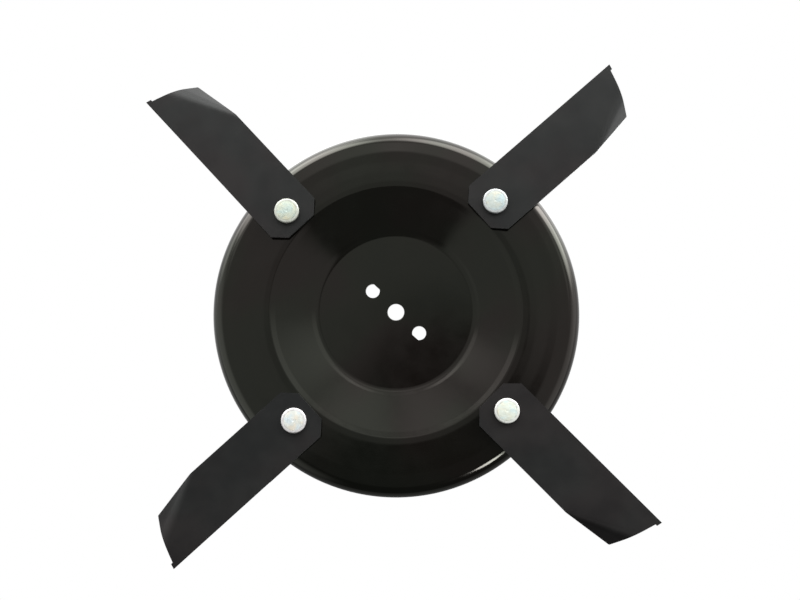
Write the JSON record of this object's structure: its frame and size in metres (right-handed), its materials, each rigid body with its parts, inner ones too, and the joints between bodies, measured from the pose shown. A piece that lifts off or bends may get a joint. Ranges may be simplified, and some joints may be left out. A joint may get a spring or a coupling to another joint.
{
  "type": "swing blade mower cutting disc",
  "caption": "Dished round steel mower cutting disc with swing-back bar blades bolted round its outer ring, seen from the ground side.",
  "frame": {"origin": "centre of the hub bore, on the hub's engine-side face", "axes": "+Z along the spin axis towards the ground side, where the round bolt heads are; the four blade pivots lie at 45, 135, 225 and 315 degrees from +X"},
  "size_m": [0.4199, 0.4133, 0.0273],
  "materials": {
    "disc_enamel": "gloss",
    "blade_steel": "satin",
    "zinc_plate": "satin",
    "bush_steel": "satin",
    "nylon": "satin"
  },
  "bodies": {
    "rotor_disc": {"blade_disc": "disc_enamel", "pivot_bolt_1": "zinc_plate", "pivot_bush_1": "bush_steel", "spacer_washer_1": "zinc_plate", "back_washer_1": "zinc_plate", "lock_nut_1": "zinc_plate", "nylon_insert_1": "nylon", "pivot_bolt_2": "zinc_plate", "pivot_bush_2": "bush_steel", "spacer_washer_2": "zinc_plate", "back_washer_2": "zinc_plate", "lock_nut_2": "zinc_plate", "nylon_insert_2": "nylon", "pivot_bolt_3": "zinc_plate", "pivot_bush_3": "bush_steel", "spacer_washer_3": "zinc_plate", "back_washer_3": "zinc_plate", "lock_nut_3": "zinc_plate", "nylon_insert_3": "nylon", "pivot_bolt_4": "zinc_plate", "pivot_bush_4": "bush_steel", "spacer_washer_4": "zinc_plate", "back_washer_4": "zinc_plate", "lock_nut_4": "zinc_plate", "nylon_insert_4": "nylon"},
    "blade_1": {"blade_1": "blade_steel"},
    "blade_2": {"blade_2": "blade_steel"},
    "blade_3": {"blade_3": "blade_steel"},
    "blade_4": {"blade_4": "blade_steel"}
  },
  "joints": [
    {"name": "blade_1_swing", "type": "hinge", "parent": "rotor_disc", "child": "blade_1", "pos_m": [0.08924, 0.08924, 0.01725], "axis": [0, 0, 1], "range_deg": [-63.6, 76.4]},
    {"name": "blade_2_swing", "type": "hinge", "parent": "rotor_disc", "child": "blade_2", "pos_m": [-0.08924, 0.08924, 0.01725], "axis": [0, 0, 1], "range_deg": [-65.3, 74.7]},
    {"name": "blade_3_swing", "type": "hinge", "parent": "rotor_disc", "child": "blade_3", "pos_m": [-0.08924, -0.08924, 0.01725], "axis": [0, 0, 1], "range_deg": [-64.5, 75.5]},
    {"name": "blade_4_swing", "type": "hinge", "parent": "rotor_disc", "child": "blade_4", "pos_m": [0.08924, -0.08924, 0.01725], "axis": [0, 0, 1], "range_deg": [-67.3, 72.7]}
  ]
}
